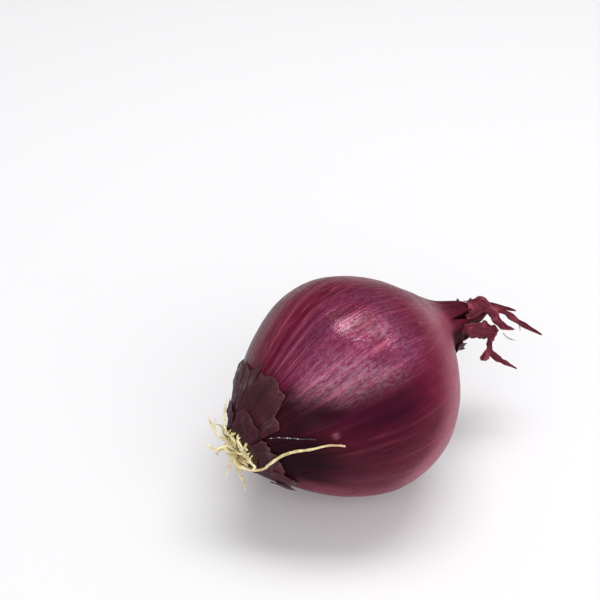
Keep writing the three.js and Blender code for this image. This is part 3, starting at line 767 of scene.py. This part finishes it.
# ---------------------------------------------------------------- root stubs
# Between the long roots the tuft is filled with their broken stubs: thicker strands lying flat on
# the plate, and hair-thin rootlets standing up from it, all of the same dry straw.
STUB_COUNT, STRAND_COUNT = 84, 48
chance = random.Random(5)
stubs = []
for number in range(STUB_COUNT):
    strand = number < STRAND_COUNT
    reach = PLATE_RADIUS * math.sqrt(chance.uniform(0.01, 0.96))
    turn = chance.uniform(0, 2 * math.pi)
    down, side = reach * math.cos(turn), reach * math.sin(turn)
    rise = GAP + PLATE_DEPTH * math.sqrt(1 - (reach / PLATE_RADIUS) ** 2)
    length = chance.uniform(1.6, 4.2) if strand else chance.uniform(1.0, 3.2)
    flatness = chance.uniform(0.12, 0.4) if strand else chance.uniform(0.6, 1)
    heading = chance.gauss(0.25, 0.7) if strand else chance.uniform(0, 2 * math.pi)
    heading += math.pi if strand and down > 3 else 0
    run_down, run_side = length * math.cos(heading), length * math.sin(heading)
    stops = [
        (rise - 0.7, down, side),
        (rise + 0.35 + 0.3 * flatness * length, down + 0.2 * run_down, side + 0.2 * run_side),
        (rise + 0.45 + 0.6 * flatness * length, down + 0.6 * run_down, side + 0.6 * run_side),
        (rise + 0.3 + 0.7 * flatness * length, down + run_down, side + run_side),
    ]
    overhang = max(math.hypot(down + run_down, side + run_side) - PLATE_RADIUS - 1.5, 0)
    if overhang:
        stops = stops[:3]
    line = flowing([off_plate(*stop) for stop in stops], 4)
    thickness = chance.uniform(0.34, 0.5) if strand else chance.uniform(0.12, 0.3)
    stubs.append(cord(f"stub_{number}", line, thickness, seed=200 + number, tip=0.5, sides=1))


def joined(name, parts):
    bpy.ops.object.select_all(action="DESELECT")
    for part in parts:
        part.select_set(True)
    bpy.context.view_layer.objects.active = parts[0]
    bpy.ops.object.join()
    bpy.context.object.name = name
    return bpy.context.object


finish_piece(joined("root_stubs", stubs), dry_root, "dry_root")


# ---------------------------------------------------------------- dry leaves at the neck
# The withered leaves above the neck are torn into curled strips, brown-red and brittle. Each is a
# flat strip along a curve, with its face turned toward a direction that changes along it.


def strip_noise(along, across, seed, layer):
    """Noise from -1 to 1 over a strip, at places along it and across it."""
    places = zip(*np.broadcast_arrays(along, across))
    return np.array([noise.noise((seed + a, c, seed + layer)) for a, c in places])


def leaf(name, route, half_widths, facing, cup=0.25, seed=0, columns=70, rows=16, fray=0.3, crumple=0.5):
    """A crumpled strip with frayed sides, which fall back by cup times the half-width."""
    sheet, share, up = grid(name, columns, rows)
    line = flowing(route, 12)
    steps = np.linspace(0, 1, len(line))
    middle = np.stack([np.interp(share, steps, line[:, k]) for k in range(3)], -1)
    tangents = np.gradient(line, axis=0)
    tangent = np.stack([np.interp(share, steps, tangents[:, k]) for k in range(3)], -1)
    tangent /= np.linalg.norm(tangent, axis=1, keepdims=True)
    first, last = np.array(facing[0], float), np.array(facing[1], float)
    outward = first + (last - first) * share[:, None]
    across = np.cross(outward, tangent)
    across /= np.linalg.norm(across, axis=1, keepdims=True)
    normal = np.cross(tangent, across)
    width = np.interp(share, np.linspace(0, 1, len(half_widths)), half_widths)
    side = up * 2 - 1
    edge_noise = strip_noise(share * len(line) * 0.13, 9.0 * np.sign(side), seed, 0)
    nicks = strip_noise(share * len(line) * 0.4, 7.0 * np.sign(side), seed, 3)
    edge_noise = 1.5 * edge_noise - 1.6 * np.maximum(nicks - 0.25, 0)
    frayed = width * (1 + fray * edge_noise * np.abs(side))
    creases = strip_noise(0.35 * share * len(route), 1.7 * side, seed, 2)
    dents = strip_noise(0.9 * share * len(route), 0.9 * side, seed, 4)
    waves = 2.2 * np.abs(creases) - 0.5 + 0.6 * dents
    curl = strip_noise(1.4 * share * len(route), 0.5, seed, 7)
    rise = crumple * waves - cup * width * side**2 + 0.5 * width * curl * side * np.abs(side)
    spots = middle + across * (frayed * side)[:, None] + normal * rise[:, None]
    shape(sheet, resting(spots))
    paint(sheet, "strip", np.stack([share * len(route), side, 0 * side], -1))
    paint(sheet, "edge", np.abs(side) ** 6)
    thicken(sheet)
    return sheet


def dry_leaf():
    material, tree, shader = new_material("dry_leaf")
    strip = attribute(tree, "strip", "Vector")
    objects = object_place(tree)
    threads = cloudy(tree, stretched(tree, strip, (0.5, 7, 1)), 1.0, 5, 0.6)
    patches = cloudy(tree, objects, 240, 3)
    wine, red, pale = tint(62, 12, 28), tint(106, 30, 48), tint(140, 58, 72)
    colour = ramp(tree, threads, (0.35, wine), (0.52, red), (0.7, pale))
    dark = ramp(tree, patches, (0.4, tint(44, 10, 19)), (0.62, tint(116, 40, 56)))
    colour = mixed(tree, 0.4, colour, dark)
    colour = mixed(tree, ramp(tree, patches, (0.56, 0.0), (0.68, 0.5)), colour, tint(168, 84, 96))
    worn = painted(tree, "edge", 0.4)
    colour = mixed(tree, worn, colour, tint(104, 72, 48))
    feed(tree, shader.inputs["Base Color"], colour)
    shader.inputs["Roughness"].default_value = 0.5
    shader.inputs["Specular IOR Level"].default_value = 0.3
    shader.inputs["Specular Tint"].default_value = (1, 0.5, 0.62, 1)
    feed(tree, shader.inputs["Normal"], bumped(tree, threads, 0.0006, 0.6))
    return material


withered = dry_leaf()


# The lip of the neck hangs loose from the split, and ends in two lobes and a spike.
lip_sheet = leaf(
    "lip_sheet",
    [
        on_bulb(37.4, 64, 0.6), on_bulb(41.4, 74, 1.1), (44.4, -10.9, 0.3), (47.2, -11.9, -1.5),
        (48.9, -13.2, -3.2),
    ],
    [1.6, 2.6, 3.1, 3.0, 1.8], [(0, -0.9, 0.45), (-0.3, -0.95, 0.15)],
    cup=0.3, seed=3, rows=22, crumple=0.9,
)
lip_stem = leaf(
    "lip_stem", [(46.9, -12.2, -3.6), (46, -13.1, -6), (45, -14, -8.4)],
    [1.0, 0.9, 1.0], [(-0.4, -0.8, 0.3), (-0.4, -0.7, 0.5)], cup=0.5, seed=5, crumple=0.3,
)
left_lobe = leaf(
    "left_lobe", [(45.4, -13.8, -7.2), (43.6, -13.8, -8.6), (42.5, -13.9, -10.8)],
    [0.8, 1.5, 1.2], [(-0.4, -0.7, 0.5), (-0.4, -0.7, 0.6)], cup=0.4, seed=8, fray=0.45, crumple=0.4,
)
lip_spike = leaf(
    "lip_spike", [(45.2, -14, -7.6), (46, -16.4, -9.6), (47.8, -19, -11.4), (50.3, -21.9, -13.8)],
    [0.9, 1.3, 0.7, 0.12], [(-0.4, -0.7, 0.5), (-0.4, -0.6, 0.7)], cup=0.5, seed=11, fray=0.5, crumple=0.4,
)
loose_lip = joined("loose_lip", [lip_sheet, lip_stem, left_lobe, lip_spike])
finish_piece(loose_lip, withered, "dry_leaf", "neck_loose_lip")

# Each leaf has its route, its half-widths, the way its face looks at either end, and its cup.
LEAVES = {
    "upper_leaf": (
        [
            on_bulb(45.2, 8, 0.7), on_bulb(47.6, 12, 1.0), (50.6, -4.2, 5.1), (52.6, -7.2, 1.8),
            (53.8, -9, -2.2), (55.4, -10.9, -4.9), (58.2, -12.2, -7.2),
        ],
        [2.7, 3.0, 2.5, 1.9, 1.6, 1.2, 0.2], [(0, -0.15, 1), (-0.3, -0.7, 0.6)], 0.45,
    ),
    "fold": (
        [on_bulb(40.6, 43, 0.7), (44.4, -8.2, 7.1), (48.2, -9, 7.4)],
        [0.8, 1.2, 0.4], [(0, -0.6, 0.8), (-0.2, -0.4, 0.9)], 0.5,
    ),
    "spike": (
        [(48.4, -1, 0.2), (52.6, -1.2, 0.6), (57.1, -2.6, -1.2), (61.1, -4.8, -3.6), (64.3, -6.9, -5.7)],
        [1.2, 1.3, 1.1, 0.7, 0.15], [(0, -0.5, 0.9), (0, -0.4, 0.9)], 0.5,
    ),
    "long_leaf": (
        [
            (48.2, -4, -2), (52.6, -4.6, 0), (55.4, -6.1, 0.5), (58, -8.9, -1.4), (59.8, -12, -3.9),
            (62.4, -15.2, -6.8), (65.4, -18.6, -9.8),
        ],
        [1.2, 1.2, 1, 1, 0.9, 0.8, 0.15], [(0.2, -0.6, 0.8), (-0.3, -0.4, 0.9)], 0.5,
    ),
    "far_leaf": (
        [(48.8, 1, -3.4), (52.5, 3.4, -4.4), (56, 6, -7.4), (58.5, 8.5, -11.4)],
        [1.4, 1.5, 1, 0.15], [(0.2, 0.6, 0.8), (0.4, 0.5, 0.8)], 0.5,
    ),
    "side_leaf": (
        [on_bulb(40.5, -102, 0.9), on_bulb(45.5, -100, 1.9), (50, 8.4, -3.2), (53.4, 11.4, -5.4)],
        [2, 2, 1.3, 0.15], [(0, 1, 0), (0.3, 0.9, 0.1)], 0.5,
    ),
    "under_leaf": (
        [on_bulb(41, 178, 1.0), on_bulb(45.5, 182, 2.0), (49.8, 0.8, -12.2), (51.8, 1.6, -14.4)],
        [2, 1.9, 1.2, 0.15], [(0, -0.4, -0.9), (0.5, -0.4, -0.8)], 0.5,
    ),
}
for number, (name, (route, half_widths, facing, cup)) in enumerate(LEAVES.items()):
    strip = leaf(f"withered_{name}", route, half_widths, facing, cup, seed=20 + 3 * number)
    finish_piece(strip, withered, "dry_leaf", f"neck_{name}")


# ---------------------------------------------------------------- neck cuff
# A ragged cuff of dark dry skin is left wrapped round the underside of the neck, where the leaves
# above it have torn away.
CUFF_BASE = [(96, 33.6), (130, 32.6), (170, 33.4), (206, 34.2)]
CUFF_EDGE = [
    (96, 36.4), (104, 38.6), (116, 37.4), (130, 39.2), (146, 37), (166, 38.8), (186, 36.8), (206, 37.6),
]
cuff = torn_skin("neck_cuff_skin", CUFF_BASE, CUFF_EDGE, 93, curl=0.6, fray=0.5, rows=16)
finish_piece(cuff, papery, "torn_skin", "neck_cuff")


# ---------------------------------------------------------------- loose fibres
# Two thin pale fibres have come away from the torn edges of the leaves. They are dry and tough, and
# hang loose among the leaves.
FIBRES = [
    [(60.4, -9.2, -4), (61, -11.6, -5.9), (59.4, -14.2, -7.6)],
    [(54, -11.2, -6.8), (54.6, -13, -8.2), (56.8, -14.8, -9.8)],
]
FIBRE_RADIUS = 0.2
fibre = straw("pale_fibre", tint(170, 140, 120), tint(120, 84, 74), tint(196, 180, 160))
for number, stops in enumerate(FIBRES, 1):
    thread = cord(f"loose_fibre_{number}", flowing(stops), FIBRE_RADIUS, seed=300 + number)
    finish_piece(thread, fibre, "dry_leaf", f"neck_fibre_{number}")


# ---------------------------------------------------------------- floor and light
# The onion lies on a pale sheet, under a small soft panel overhead and a wide one in front. The
# room round it is dim, and a little brighter toward the front right.
FLOOR_SIZE, FLOOR_GAP = 16, 0.0002
bpy.ops.mesh.primitive_plane_add(size=FLOOR_SIZE, location=(0, 0, -FLOOR_GAP))
floor = bpy.context.object
floor.name = "floor"
pale_floor, _, floor_shader = new_material("pale_floor")
floor_shader.inputs["Base Color"].default_value = tint(234, 233, 235)
floor_shader.inputs["Roughness"].default_value = 0.8
floor.data.materials.append(pale_floor)


def soft_light(name, right, forward, size, power):
    """A soft panel 1 m above the floor, aimed at the onion. Right and forward are the camera's."""
    heading = Vector((math.cos(view_turn), math.sin(view_turn), 0))
    away = Vector((-math.sin(view_turn), math.cos(view_turn), 0))
    spot = heading * right + away * forward + Vector((0, 0, 1))
    bpy.ops.object.light_add(type="AREA", location=spot)
    light = bpy.context.object
    light.name = name
    light.data.shape = "RECTANGLE"
    light.data.size, light.data.size_y = size
    light.data.energy = power
    turn = Matrix((heading, spot.normalized().cross(heading), spot.normalized())).transposed()
    light.rotation_mode = "QUATERNION"
    light.rotation_quaternion = turn.to_quaternion()


soft_light("overhead_panel", 0.1, 0.2, (0.85, 0.34), 6.2)
soft_light("front_panel", 0.2, -1.55, (5.2, 2.0), 38)
world = bpy.data.worlds.new("soft_room")
bpy.context.scene.world = world
world.use_nodes = True
room = world.node_tree
toward_front = room.nodes.new("ShaderNodeVectorMath")
toward_front.operation = "DOT_PRODUCT"
toward_front.inputs[1].default_value = (0.15, -0.38, 0.3)
feed(room, toward_front.inputs[0], room.nodes.new("ShaderNodeTexCoord").outputs["Generated"])
brightness = sums(room, "ADD", toward_front.outputs["Value"], 0.5)
brightness = ramp(room, brightness, (0.25, 0.1), (0.65, 0.4), (0.8, 0.6))
feed(room, room.nodes["Background"].inputs["Color"], brightness)
bpy.context.scene.view_settings.view_transform = "Standard"
